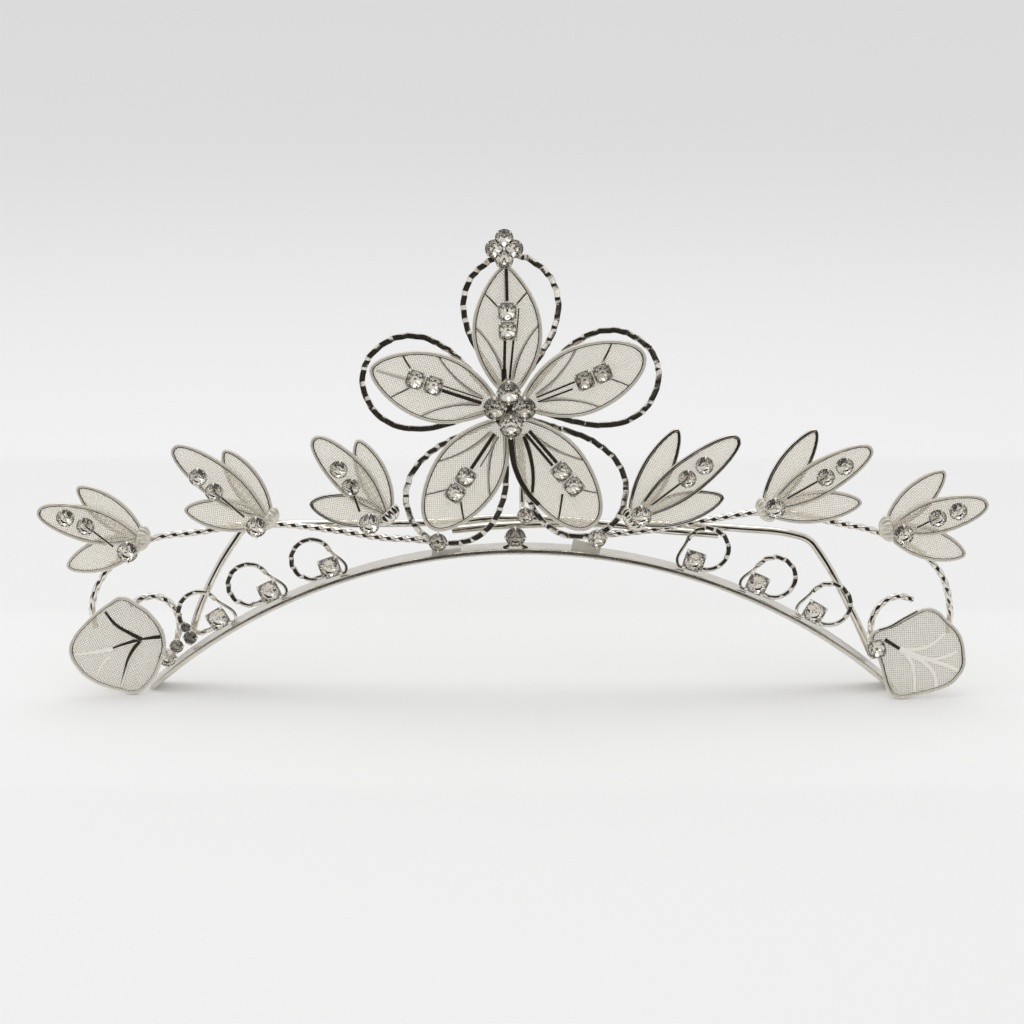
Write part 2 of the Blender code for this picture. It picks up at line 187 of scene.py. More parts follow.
def soft_edges(add, geometry, crease=33):
    """Shade faces smooth, apart from edges sharper than the crease in degrees."""
    smooth = add("SetShadeSmooth", {0: geometry, "Shade Smooth": True})
    bend = add("InputMeshEdgeAngle")["Unsigned Angle"]
    gentle = add("Compare", [bend, radians(crease)], operation="LESS_THAN")
    return add("SetShadeSmooth", {0: smooth, "Shade Smooth": gentle}, domain="EDGE")


def run_tree(source, tree, **values):
    """Run a tree on an object, and return what it makes as a plain mesh."""
    modifier = source.modifiers.new(tree.name, "NODES")
    modifier.node_group = tree
    for socket in tree.interface.items_tree:
        if socket.in_out == "INPUT" and socket.name in values:
            modifier[socket.identifier] = values[socket.name]
    bpy.context.view_layer.update()
    graph = bpy.context.evaluated_depsgraph_get()
    mesh = bpy.data.meshes.new_from_object(source.evaluated_get(graph))
    source.modifiers.remove(modifier)
    return mesh


def add_object(name, data):
    """Add an object to the scene."""
    made = bpy.data.objects.new(name, data)
    bpy.context.scene.collection.objects.link(made)
    return made


def helper(data):
    """An object that only feeds a tree and never shows."""
    made = add_object("helper", data)
    made.hide_render = True
    return made


def path(points, kind="BEZIER", closed=False):
    """A curve through the points, in millimetres: smooth, or straight from point to point."""
    data = bpy.data.curves.new("path", "CURVE")
    data.dimensions = "3D"
    data.resolution_u = 16
    line = data.splines.new(kind)
    knots = line.bezier_points if kind == "BEZIER" else line.points
    knots.add(len(points) - 1)
    for knot, point in zip(knots, points):
        place = Vector(point) * MM
        knot.co = place if kind == "BEZIER" else (*place, 1)
    for knot in line.bezier_points:
        knot.handle_left_type = knot.handle_right_type = "AUTO"
    line.use_cyclic_u = closed
    return helper(data)


def section(width, height, square=2.0, sides=12):
    """The outline of a wire or bead: an ellipse, or nearer a rectangle as square grows."""
    points = []
    for i in range(sides):
        turn = 2 * pi * (i + 0.5) / sides
        x = abs(cos(turn)) ** (2 / square) * (1 if cos(turn) > 0 else -1)
        y = abs(sin(turn)) ** (2 / square) * (1 if sin(turn) > 0 else -1)
        points.append((x * width / 2, y * height / 2, 0))
    return path(points, "POLY", closed=True)


HAND_DRIFT = 7  # length over which the hand's spacing and pressure change
PRESSURE = (0.35, 1.1)  # of the pliers, from light to hard, as shares of a crimp's depth
SIDEWAYS = 0.3  # share of a crimp's depth that goes sideways as it goes forwards


def make_wire_tree():
    """Wire along a path, twisted by a turn in each length given, and crimped across."""
    floats = "Step Turn Crimp Crimp_Length Crimp_Share Start End"
    tree, add, given = start_tree("wire", Object="Section", Float=floats, Material="Material")
    line = add("ResampleCurve", {0: given["Geometry"], "Length": given["Step"]}, mode="LENGTH")
    level = add("SetCurveNormal", [line], mode="Z_UP")
    along = add("SplineParameter")
    turns = add("Math", [along["Length"], given["Turn"]], operation="DIVIDE")
    twist = add("Math", [turns, 2 * pi], operation="MULTIPLY")
    side = add("InputNormal")
    crimps = add("Math", [along["Length"], given["Crimp_Length"]], operation="DIVIDE")
    hand = add("TexNoise", {"Scale": 1 / (HAND_DRIFT * MM), "Detail": 1})["Fac"]
    uneven = add("Math", [hand, 2.0, crimps], operation="MULTIPLY_ADD")
    share = add("Math", [uneven], operation="FRACT")
    rise = add("Math", [share, given["Crimp_Share"]], operation="DIVIDE")
    left = add("Math", [1.0, share], operation="SUBTRACT")
    rest = add("Math", [1.0, given["Crimp_Share"]], operation="SUBTRACT")
    fall = add("Math", [left, rest], operation="DIVIDE")
    zigzag = add("Math", [rise, fall], operation="MINIMUM")
    light, hard = PRESSURE
    hold = {"Value": hand, "From Min": 0.35, "From Max": 0.6, "To Min": light, "To Max": hard}
    press = add("MapRange", hold)
    depth = add("Math", [press, given["Crimp"]], operation="MULTIPLY")
    height = add("Math", [zigzag, depth], operation="MULTIPLY")
    slant = add("VectorMath", [side, (SIDEWAYS, SIDEWAYS, SIDEWAYS), (0, 0, 1)], operation="MULTIPLY_ADD")
    bend = add("VectorMath", {0: slant, "Scale": height}, operation="SCALE")
    crimped = add("SetPosition", {0: level, "Offset": bend})
    turned = add("SetCurveTilt", {0: crimped, "Tilt": twist})
    taper = {"Value": along["Factor"], "To Min": given["Start"], "To Max": given["End"]}
    girth = add("MapRange", taper)
    shaped = add("SetCurveRadius", {0: turned, "Radius": girth})
    outline = add("ObjectInfo", [given["Section"]])
    swept = add("CurveToMesh", {0: shaped, 1: outline["Geometry"], 2: girth, "Fill Caps": True})
    end_tree(add, soft_edges(add, swept), given["Material"])
    return tree


wire_tree = make_wire_tree()


def wire(line, outline, look, step=0.4, turn=0.0, crimp=(0.0, 1.0, 0.5), start=1.0, end=1.0):
    """The mesh of a wire along a path, in millimetres.

    A crimp is its depth, its length and the share of its longer flat. The start and the end
    are girths, as shares of the outline's.
    """
    depth, length, share = crimp
    sizes = {"Step": step * MM, "Turn": turn * MM, "Crimp": depth * MM, "Crimp_Length": length * MM}
    ends = {"Crimp_Share": share, "Start": start, "End": end}
    return run_tree(line, wire_tree, Section=outline, Material=look, **sizes, **ends)


def add_piece(name, meshes, plane=FRONT_PLANE):
    """Join the meshes into one finished piece on the plane, in place of the CAD node so named."""
    whole = bmesh.new()
    looks = []
    for mesh in meshes:
        mesh.transform(plane)
        old = len(whole.faces)
        whole.from_mesh(mesh)
        whole.faces.ensure_lookup_table()
        for face in whole.faces[old:]:
            look = mesh.materials[face.material_index]
            if look not in looks:
                looks.append(look)
            face.material_index = looks.index(look)
    joined = bpy.data.meshes.new(name + "_finished")
    whole.to_mesh(joined)
    whole.free()
    for look in looks:
        joined.materials.append(look)
    piece = add_object(joined.name, joined)
    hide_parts(name)
    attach(piece, "root")


def on_band(angle, lift, forward=0.0):
    """The point over the band's top at an angle from its crown, positive to the right."""
    radius = BAND_TOP_RADIUS + lift
    across = BAND_MIDDLE_X + radius * sin(radians(angle))
    return Vector((across, BAND_CENTRE_HEIGHT + radius * cos(radians(angle)), forward))


# The strip was rolled and only barrel polished, so it blurs what it mirrors.
strip_plate = silver("rolled_silver_plate", "#E8E4DB", "#CFCABE", (0.2, 0.32), 2.5, 0.004)

arc = [on_band(BAND_HALF_ANGLE * (i / 12 - 1), -BAND_THICKNESS / 2) for i in range(25)]
strip = section(BAND_THICKNESS, BAND_WIDTH, square=7, sides=28)
add_piece("band", [wire(path(arc), strip, strip_plate, step=0.7)])


# ---- the braces ----
# Two round brass wires, bent over behind the flower, where they are soldered side by side.
# Each has one foot soldered to the band, and they share the weight of the sprays.

BRACE_WIRE = 1.25
BRACES = {
    "left": (
        (-52.3, 6.7, -1.2), (-49.4, 15.0, -1.1), (-44.3, 24.2, -0.9), (-42.8, 26.0, -0.9),
        (-40.6, 26.5, -0.9), (-9.3, 27.2, -0.6), (-2.2, 27.8, -0.6), (13.8, 26.95, -0.6),
        (23.3, 25.8, -0.7), (32.6, 25.0, -0.8),
    ),
    "right": (
        (57.7, 4.9, -1.2), (54.0, 12.7, -1.3), (48.6, 22.2, -1.7), (47.2, 23.8, -1.8),
        (45.2, 24.6, -1.9), (37.0, 25.6, -2.05), (13.8, 26.4, -2.1), (-2.2, 26.1, -2.1),
        (-9.8, 25.4, -2.1),
    ),
}

# Bright silver plate over polished brass: a near mirror, a little warm, with faint waves
# left by the buffing wheel.
plate = silver("bright_silver_plate", "#EFECE4", "#DAD5CA", (0.05, 0.12), 1.6, 0.003)

round_wire = section(BRACE_WIRE, BRACE_WIRE, sides=20)
for side, points in BRACES.items():
    add_piece("brace_" + side, [wire(path(points), round_wire, plate)])


# ---- the branch wires ----
# Square brass wire, twisted tight and silver plated, which carries the sprays from the flower
# out to the end leaves. Each flat that turns downwards shows as a dark slanted mark.

BRANCH_WIRE = 0.94
BRANCH_TURN = -7.6  # length of a full turn; the sign says which way it was twisted
BRANCH_STEP = 0.12
BRANCHES = {
    "left": (
        (-66.9, 10.0, 0.9), (-67.3, 13.0, 0.9), (-65.5, 18.4, 0.9), (-58.6, 24.2, 0.9),
        (-49.8, 25.9, 0.9), (-40.0, 27.2, 0.9), (-28.7, 26.2, 0.9), (-20.4, 24.9, 0.9),
        (-16.5, 24.6, 0.4), (-12.0, 23.9, -0.3),
    ),
    "right": (
        (69.6, 9.2, 0.9), (69.7, 13.4, 0.9), (67.2, 20.2, 0.9), (58.7, 25.5, 0.9),
        (51.2, 27.4, 0.9), (41.5, 29.2, 0.9), (30.6, 27.8, 0.9), (21.0, 26.1, 0.9),
        (16.9, 25.5, 0.2), (13.1, 24.9, -0.3),
    ),
}

# Drawn and twisted silver-plated wire: brighter than the strip, with no buffing waves.
twisted = silver("twisted_silver_wire", "#F2EFE8", "#DEDAD2", (0.05, 0.12), 0.8, 0.002)

square_wire = section(BRANCH_WIRE, BRANCH_WIRE, square=4.5, sides=16)
for side, points in BRANCHES.items():
    branch = wire(path(points), square_wire, twisted, step=BRANCH_STEP, turn=BRANCH_TURN)
    add_piece("branch_wire_" + side, [branch])


# ---- stones and their cups ----
# Clear machine-cut rhinestones with foiled backs, each pressed into a thin silver cup, round
# or square, and held by its claws. The first one is soldered to the band's crown.


def lead_crystal(name, bright, dull):
    """Machine-cut lead crystal: see-through, with facets that flash light and dark."""
    made, add, shader = material(name)
    tone, veil = mottle(add, bright, dull, 0.5, detail=3, rough=0.5)
    gloss = add("MapRange", {"Value": veil, "To Min": 0.0, "To Max": 0.05})
    add(shader, {"Base Color": tone, "Roughness": gloss, "IOR": 1.6, "Transmission Weight": 1})
    return made


# Clear where the foil behind it is sound. The smoky copy is painted shade: a darker crystal for stones
# that sit in shade.
crystal = lead_crystal("foiled_lead_crystal", "#FFFEFB", "#F1EEE8")
painted_shade_crystal = lead_crystal("dulled_lead_crystal", "#C6C1BA", "#8F8A82")

# The mirror foil on a stone's back throws the light back out through the facets.
foil = silver("mirror_foil", "#FFFCF6", "#E8E4DC", (0.0, 0.06), 0.4, 0.0)

# Pressed silver cup with a soft sheen.
cup_silver = silver("pressed_silver_cup", "#F6F3EB", "#E2DED4", (0.06, 0.2), 0.4, 0.01, metallic=0.5)

ROUND, SQUARE = 2.0, 6.0  # how square a cup is
# Radii and heights in a setting are shares of its width and depth.
GIRDLE = 0.46
CUP_LIP = 0.66
CUP_BOTTOM = 0.12
# Each ring of the cup, up its outside and down its inside.
CUP_RINGS = (
    (0.28, 0.0), (0.36, 0.14), (0.45, 0.42), (0.495, CUP_LIP - 0.03), (0.49, CUP_LIP),
    (0.47, CUP_LIP), (0.45, 0.56), (0.22, 0.26),
)


def rounded(turn, radius, height, square):
    """A point at an angle on a circle, or on a rounded square as square grows."""
    reach = (abs(cos(turn)) ** square + abs(sin(turn)) ** square) ** (-1 / square)
    return (radius * reach * cos(turn), radius * reach * sin(turn), height)


def closed_shape(points, faces):
    """A helper object of flat faces that all point outwards."""
    shape = bmesh.new()
    corners = [shape.verts.new(point) for point in points]
    for face in faces:
        shape.faces.new([corners[i] for i in face])
    bmesh.ops.recalc_face_normals(shape, faces=shape.faces)
    mesh = bpy.data.meshes.new("shape")
    shape.to_mesh(mesh)
    shape.free()
    return helper(mesh)


def cut_stone():
    """A brilliant of unit width and depth: table, stars, kites, girdle and pavilion."""
    step = pi / 4
    points = [rounded(step * k, 0.25, 1.0, ROUND) for k in range(8)]
    points += [rounded(step * (k + 0.5), 0.36, 0.89, ROUND) for k in range(8)]
    points += [rounded(step * j / 2, GIRDLE, 0.70, ROUND) for j in range(16)]
    points += [rounded(step * j / 2, GIRDLE, 0.64, ROUND) for j in range(16)]
    points += [(0, 0, 0.16)]
    faces = [list(range(8))]
    for k in range(8):
        star, before = 8 + k, 8 + (k - 1) % 8
        left, middle, right = 16 + 2 * k, 16 + 2 * k + 1, 16 + (2 * k + 2) % 16
        faces.append((k, star, (k + 1) % 8))
        faces.append((k, before, left, star))
        faces.append((star, left, middle))
        faces.append((star, middle, right))
    for j in range(16):
        after = (j + 1) % 16
        faces.append((16 + j, 16 + after, 32 + after, 32 + j))
        faces.append((32 + j, 32 + after, 48))
    return closed_shape(points, faces)


def ringed(start, rings, end):
    """A closed helper object through rings of points, from one pole to the other."""
    points = [start, *(point for ring in rings for point in ring), end]
    sides = len(rings[0])
    last = len(points) - 1 - sides
    faces = []
    for i in range(sides):
        after = (i + 1) % sides
        faces.append((0, 1 + after, 1 + i))
        for low in range(1, last, sides):
            faces.append((low + i, low + after, low + sides + after, low + sides + i))
        faces.append((last + i, last + after, len(points) - 1))
    return closed_shape(points, faces)


def pressed_cup(square, sides=32):
    """A thin cup of unit width and depth, from the pole under it to the pole inside it."""
    turns = [2 * pi * i / sides for i in range(sides)]
    rings = [[rounded(turn, *ring, square) for turn in turns] for ring in CUP_RINGS]
    return ringed((0, 0, 0), rings, (0, 0, CUP_BOTTOM))


def make_claw():
    """One claw of unit reach: a finger that rises from the cup and bends in over the stone."""
    spine = ((0.485, 0.40), (0.505, 0.62), (0.50, 0.80), (0.465, 0.93), (0.40, 0.97))
    points, faces = [], []
    for i, (reach, height) in enumerate(spine):
        thick = 0.045 - 0.004 * i
        for turn in range(6):
            around = 2 * pi * turn / 6
            points.append((reach + thick * cos(around), thick * 1.5 * sin(around), height))
    for i in range(len(spine) - 1):
        for turn in range(6):
            after = (turn + 1) % 6
            faces.append((6 * i + turn, 6 * i + after, 6 * i + 6 + after, 6 * i + 6 + turn))
    faces.append(tuple(range(6)))
    faces.append(tuple(range(len(points) - 6, len(points))))
    return closed_shape(points, faces)


def make_setting_tree():
    """Stones in claw cups on points, turned as their turn attribute says."""
    sizes, looks = "Across Depth Spread", "Crystal Foil Metal"
    shapes = "Stone Cup Claw"
    tree, add, given = start_tree("setting", Object=shapes, Float=sizes, Int="Claws", Material=looks)
    turn = add("InputNamedAttribute", ["turn"])
    facing = add("CombineXYZ", {"Z": turn})
    size = add("CombineXYZ", [given["Across"], given["Across"], given["Depth"]])
    around = add("DuplicateElements", {0: given["Geometry"], "Amount": given["Claws"]}, domain="POINT")
    middle = add("Math", [around[1], 0.5])
    share = add("Math", [middle, given["Claws"]], operation="DIVIDE")
    bearing = add("Math", [share, 2 * pi, turn], operation="MULTIPLY_ADD")
    across = add("Math", [bearing], operation="COSINE")
    upward = add("Math", [bearing], operation="SINE")
    outward = {0: add("CombineXYZ", [across, upward]), "Scale": given["Spread"]}
    offset = add("VectorMath", outward, operation="SCALE")
    spread = add("SetPosition", {0: around, "Offset": offset})
    heading = add("CombineXYZ", {"Z": bearing})
    bodies = []
    for part, points, way, look, crease in (
        ("Claw", spread, heading, "Metal", 50),
        ("Cup", given, facing, "Metal", 33),
        ("Stone", given, facing, "Crystal", 0),
    ):
        shape = add("ObjectInfo", [given[part]])["Geometry"]
        placed = add("InstanceOnPoints", {0: points, "Instance": shape, "Rotation": way, "Scale": size})
        real = add("RealizeInstances", [placed])
        shaded = soft_edges(add, real, crease) if crease else real
        bodies.append(add("SetMaterial", {0: shaded, "Material": given[look]}))
    normal = add("SeparateXYZ", [add("InputNormal")])
    rear = add("Compare", [normal["Z"], -0.2], operation="LESS_THAN")
    bodies.append(add("SetMaterial", {0: bodies.pop(), "Selection": rear, "Material": given["Foil"]}))
    add("GroupOutput", [add("JoinGeometry", [bodies])])
    return tree


setting_tree = make_setting_tree()
claw = make_claw()
STONE_DEPTH = 0.56  # as a share of its width, so that its back facets mirror the light forwards
CORNER_SPREAD = 0.11  # the claws of a square cup stand further out, at its corners
stone_shape = cut_stone()
cup_shapes = {square: pressed_cup(square) for square in (ROUND, SQUARE)}


def settings(places, across, square=ROUND, turn=0.0, glass=crystal):
    """The mesh of like stones in their cups, at places in millimetres, turned in degrees."""
    dots = bpy.data.meshes.new("dots")
    dots.from_pydata([Vector(place) * MM for place in places], [], [])
    turns = dots.attributes.new("turn", "FLOAT", "POINT")
    turns.data.foreach_set("value", [radians(turn)] * len(places))
    shapes = {"Stone": stone_shape, "Cup": cup_shapes[square], "Claw": claw, "Claws": 4}
    looks = {"Crystal": glass, "Foil": foil, "Metal": cup_silver}
    spread = 0.0 if square == ROUND else CORNER_SPREAD
    sizes = {"Across": across * MM, "Depth": STONE_DEPTH * across * MM, "Spread": spread * across * MM}
    return run_tree(helper(dots), setting_tree, **shapes, **looks, **sizes)


def in_front(point):
    """A point of the frame on the front plane, in millimetres."""
    return Vector((point.x, point.z, MIDDLE_Y - point.y)) / MM


def stone_place(name):
    """Middle of the back of a CAD stone, on the front plane."""
    low, high = (in_front(corner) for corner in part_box(name))
    middle = (low + high) / 2
    return Vector((middle.x, middle.y, min(low.z, high.z)))


CROWN_STONE = 3.3
# Half of the flat wire under its cup, and that wire's width and thickness.
CROWN_FOOT = ((0.3, 1.0, 0.2), (0.9, 0.2, 0.3), (1.9, -0.35, 0.3))
CROWN_FOOT_WIRE = (0.55, 0.35)
place = stone_place("crown_stone")
# The crown stone takes the smoky crystal, a painted shade.
meshes = [settings([place], CROWN_STONE, turn=45, glass=painted_shade_crystal)]
for side in (-1, 1):
    bent = path([Vector((x * side, y - CROWN_STONE / 2, z)) + place for x, y, z in CROWN_FOOT])
    meshes.append(wire(bent, section(*CROWN_FOOT_WIRE, square=4), plate, step=0.2))
add_piece("crown_stone", meshes)


# ---- the post ----
# A short round wire behind the flower, soldered to both braces, that holds the flower up.
# A small round stone is soldered to its foot.

POST_WIRE = 0.9
POST_STONE = 2.7
POST_STONE_PLACE = (1.9, 28.6, 0.25)
POST = (
    (1.4, 28.9, 0.9), (1.4, 29.9, -0.35), (1.4, 31.2, -0.8), (1.4, 38.0, -1.15),
    (0.7, 42.5, -1.45), (-0.3, 45.2, -1.65),
)

post_wire = wire(path(POST), section(POST_WIRE, POST_WIRE, sides=16), plate, step=0.3)
post_stone = settings([POST_STONE_PLACE], POST_STONE, turn=45)
add_piece("post_wire", [post_wire, post_stone])


# ---- the petals ----
# Five leaves of woven wire gauze, each pressed into a dish and soldered into a frame of
# half-round wire with a midrib and pairs of side veins.

GAUZE_PITCH = 0.33  # distance between the gauze's wires
GAUZE_WIRE = 0.145
RIM_WIDTH = 0.58
RIM_HEIGHT = 0.62
EDGE_WIRE = 0.2
PETAL_FOOT, PETAL_TIP = 1.6, 23.0  # distances from the flower's middle
PETAL_HALF_WIDTH = 5.5
PETAL_SHARPNESS = 0.75
PETAL_DISH = 0.5
PETAL_BIAS = 35
PETAL_LAYER = 0.8
# Heading of each petal, the sharpness of its tip, and whether its midrib is white with a painted
# highlight.
PETALS = {
    "top": (92, 0.75, False),
    "left": (163.6, 0.62, False),
    "right": (22.4, 0.5, True),
    "lower_left": (236.5, 0.5, True),
    "lower_right": (304.8, 0.42, True),
}
FLOWER_LEAN = 4
FLOWER_CENTRE = (-0.55, 45.7, -0.34)
FLOWER_PLANE = FRONT_PLANE @ Matrix.Translation(Vector(FLOWER_CENTRE) * MM)
FLOWER_PLANE = FLOWER_PLANE @ Matrix.Rotation(radians(-FLOWER_LEAN), 4, "X")
CLOTH_DROP = 20  # the flat cloth starts this high over the leaf, and is laid straight down on it
WEAVE_LIFT = 0.42  # how far a wire rises and dips at each crossing, as a share of its thickness


def make_gauze_tree():
    """Plain-woven wire gauze over a panel: two sets of wires that pass over and under."""
    tree, add, given = start_tree("gauze", Float="Pitch Wire Bias", Material="Material")
    box = add("BoundBox", [given["Geometry"]])
    size = add("VectorMath", [box["Max"], box["Min"]], operation="SUBTRACT")
    reach = add("VectorMath", [size], operation="LENGTH")
    count = add("Math", [reach["Value"], given["Pitch"]], operation="DIVIDE")
    whole = add("Math", [count], operation="CEIL")
    span = add("Math", [whole, given["Pitch"]], operation="MULTIPLY")
    lines = add("Math", [whole, 1.0])
    grid = add("MeshGrid", [span, span, lines, lines])
    index = add("InputIndex")
    row = add("Math", [index, lines], operation="DIVIDE")
    whole_row = add("Math", [row], operation="FLOOR")
    column = add("Math", [index, lines], operation="MODULO")
    total = add("Math", [whole_row, column])
    parity = add("Math", [total, 2.0], operation="MODULO")
    ends = add("InputMeshEdgeVertices")
    way = add("VectorMath", [ends[2], ends[3]], operation="SUBTRACT")
    parts = add("SeparateXYZ", [way])
    run = add("Math", [parts["X"]], operation="ABSOLUTE")
    half = add("Math", [given["Pitch"], 0.5], operation="MULTIPLY")
    sets = []
    for test, low, high in (("LESS_THAN", -1.0, 1.0), ("GREATER_THAN", 1.0, -1.0)):
        across = add("Compare", [run, half], operation=test)
        kept = add("DeleteGeometry", [grid, across], domain="EDGE", mode="EDGE_FACE")
        wave = add("MapRange", {"Value": parity, "To Min": low, "To Max": high})
        sets.append(add("StoreNamedAttribute", {0: kept, "Name": "wave", "Value": wave}))
    both = add("VectorMath", [box["Max"], box["Min"]])
    middle = add("VectorMath", {0: both, "Scale": 0.5}, operation="SCALE")
    above = add("VectorMath", [middle, (0, 0, CLOTH_DROP * MM)])
    turn = add("CombineXYZ", {"Z": given["Bias"]})
    threads = add("JoinGeometry", [sets])
    cloth = add("Transform", {0: threads, "Translation": above, "Rotation": turn})
    down = {0: given["Geometry"], "Ray Direction": (0, 0, -1), "Ray Length": 5 * CLOTH_DROP * MM}
    fall = add("Raycast", down)
    weave = add("InputNamedAttribute", ["wave"])
    lift = add("Math", [weave, given["Wire"]], operation="MULTIPLY")
    offset = add("VectorMath", {0: (0, 0, WEAVE_LIFT), "Scale": lift}, operation="SCALE")
    missed = add("BooleanMath", [fall["Is Hit"]], operation="NOT")
    trimmed = add("DeleteGeometry", [cloth, missed], domain="POINT")
    laid = add("SetPosition", {0: trimmed, "Position": fall["Hit Position"], "Offset": offset})
    lines = add("MeshToCurve", [laid])
    radius = add("Math", [given["Wire"], 0.5], operation="MULTIPLY")
    outline = add("CurvePrimitiveCircle", {"Resolution": 4, "Radius": radius})
    woven = add("CurveToMesh", {0: lines, 1: outline, "Fill Caps": True})
    smooth = add("SetShadeSmooth", {0: woven, "Shade Smooth": True})
    end_tree(add, smooth, given["Material"])
    return tree


gauze_tree = make_gauze_tree()

# Fine woven brass gauze under thin silver plate: each wire glints, and the cloth as a whole
# reads as a warm pale grey.
gauze = silver("silver_plated_gauze", "#FDF8E9", "#F0E9D9", (0.35, 0.55), 0.5, 0.003, metallic=0.22)

# The frames of the leaves are left satin by the plating, and hand soldering has pulled them a
# little out of true, so the dark of the room comes and goes along them.
satin = silver("satin_silver_frame", "#F1ECE0", "#D6D0C2", (0.18, 0.32), 4.0, 0.2, metallic=0.45)

# A white, nearly matt silver laid along some veins: a painted highlight.
painted_highlight_white = silver("matt_silver_solder", "#FCF9F0", "#EAE6DB", (0.3, 0.5), 0.8, 0.02, metallic=0.12)


def pointed_outline(start, end, half_width, sharpness, tip_sharpness, steps=18):
    """Distance along and half widths of a leaf, with a foot and a tip as pointed as they are sharp."""
    outline = []
    for i in range(steps + 1):
        share = (1 - cos(pi * i / steps)) / 2
        power = sharpness if share < 0.5 else tip_sharpness
        half = half_width * sin(pi * share) ** power if 0 < i < steps else 0
        outline.append((start + (end - start) * share, half, half))
    return outline


VEIN_LAYER = 0.34
VEIN_HEIGHT = 0.45
CLOTH_LAYER = 0.3


def leaf(outline, dish, veins, bias, rim=RIM_WIDTH, rim_look=satin, cloth_look=gauze, taper=0.8, steps=8):
    """Meshes of a gauze leaf along x: its rim, its veins and the gauze stretched between.

    The outline gives, at each distance along, the half widths above and below. The dish is
    how far the edges stand up, the bias turns the weave, and the taper thins the veins' ends.
    """
    widest = max(max(above, below) for _, above, below in outline)

    def level(side):
        return dish * (side / widest) ** 2

    start, end = outline[0][0], outline[-1][0]
    middle = (start + end) / 2
    narrow = 1 - rim / 2 / widest
    short = 1 - 1.2 * rim / (end - start)
    rows = [(middle + (x - middle) * short, above * narrow, below * narrow) for x, above, below in outline]
    upper = [(x, above) for x, above, _ in rows[1:-1]]
    lower = [(x, -below) for x, _, below in rows[1:-1]]
    loop = [(rows[0][0], 0), *upper, (rows[-1][0], 0), *reversed(lower)]
    rim_line = path([(x, y, level(y) + RIM_HEIGHT / 2) for x, y in loop], closed=True)
    meshes = [wire(rim_line, section(rim, RIM_HEIGHT, square=2.8, sides=16), rim_look, step=0.35)]
    tight = 1 - rim / 2 / (widest * narrow)
    close = 1 - 1.1 * rim / (end - start)
    edging = [(middle + (x - middle) * close, y * tight) for x, y in loop]
    edge_line = path([(x, y, level(y) + RIM_HEIGHT - EDGE_WIRE / 2) for x, y in edging], closed=True)
    meshes.append(wire(edge_line, section(EDGE_WIRE, EDGE_WIRE, square=4), plate, step=0.35))
    for width, look, points in veins:
        line = path([(x, y, level(y) + VEIN_LAYER + sum(lift)) for x, y, *lift in points])
        bead = section(width, VEIN_HEIGHT, square=4)
        meshes.append(wire(line, bead, look, step=0.3, start=1.1, end=taper))
    rings = [(rows[0][0], 0, 0), *rows[1:-1], (rows[-1][0], 0, 0)]
    points, faces = [], []
    for x, above, below in rings:
        for k in range(steps + 1):
            side = -below + (above + below) * k / steps
            points.append(Vector((x, side, level(side) + CLOTH_LAYER)) * MM)
    for i in range(len(rings) - 1):
        for near in range(i * (steps + 1), i * (steps + 1) + steps):
            faces.append((near, near + steps + 1, near + steps + 2, near + 1))
    panel = bpy.data.meshes.new("panel")
    panel.from_pydata(points, [], faces)
    sizes = {"Pitch": GAUZE_PITCH * MM, "Wire": GAUZE_WIRE * MM, "Bias": radians(bias)}
    meshes.append(run_tree(helper(panel), gauze_tree, Material=cloth_look, **sizes))
    return meshes


def on_plane(plane, place, heading=0.0):
    """A plane moved to a place in millimetres on another plane, and turned there."""
    return plane @ Matrix.Translation(Vector(place) * MM) @ Matrix.Rotation(radians(heading), 4, "Z")


MIDRIB = ((16.5, 0), (19.0, 0), (21.8, 0))
MIDRIB_WIDTH = 0.55
# Width, look and points of each vein above the midrib, which has its mirror image below.
SIDE_VEINS = (
    (0.42, satin, ((4.6, 0.4), (7.6, 1.3), (10.4, 2.8), (12.4, 4.2), (13.4, 5.1))),
    (0.34, plate, ((15.8, 0.9), (17.2, 2.2), (18.7, 3.6))),
    # The third is a darker wire beside the first vein: painted shade along that vein's side.
    (0.28, strip_plate, ((4.8, 0.7), (7.9, 1.65), (10.7, 3.1), (12.6, 4.5), (13.6, 5.3))),
)
# Bright wires that lie on the lower right petal's gauze and along its rim, with their lifts.
LOWER_RIGHT_VEINS = (
    (0.7, plate, ((4.8, -0.6, 0.1), (7.9, -1.6, 0.1), (10.7, -3.0, 0.1), (12.8, -4.6, 0.1))),
    (
        1.0,
        plate,
        ((2.4, -1.6, 0.35), (5.0, -3.2, 0.35), (8.5, -4.7, 0.35), (12.3, -5.2, 0.35), (15.0, -4.9, 0.3)),
    ),
)
for side, (heading, tip_sharpness, highlighted_midrib) in PETALS.items():
    outline = pointed_outline(PETAL_FOOT, PETAL_TIP, PETAL_HALF_WIDTH, PETAL_SHARPNESS, tip_sharpness)
    veins = [(MIDRIB_WIDTH, painted_highlight_white if highlighted_midrib else satin, MIDRIB)]
    for width, look, points in SIDE_VEINS:
        veins.append((width, look, points))
        veins.append((width, look, [(x, -y) for x, y in points]))
    if side == "lower_right":
        veins += LOWER_RIGHT_VEINS
    petal = leaf(outline, PETAL_DISH, veins, PETAL_BIAS)
    plane = on_plane(FLOWER_PLANE, (0, 0, PETAL_LAYER), heading)
    add_piece("petal_" + side, petal, plane)


# ---- the petal loops ----
# A loop of flat wire behind each petal, crimped from end to end before it was bent, so that
# its flats catch the light in turn. The two lowest carry a stone, soldered to a small tab.

LOOP_WIRE = (0.95, 0.6)
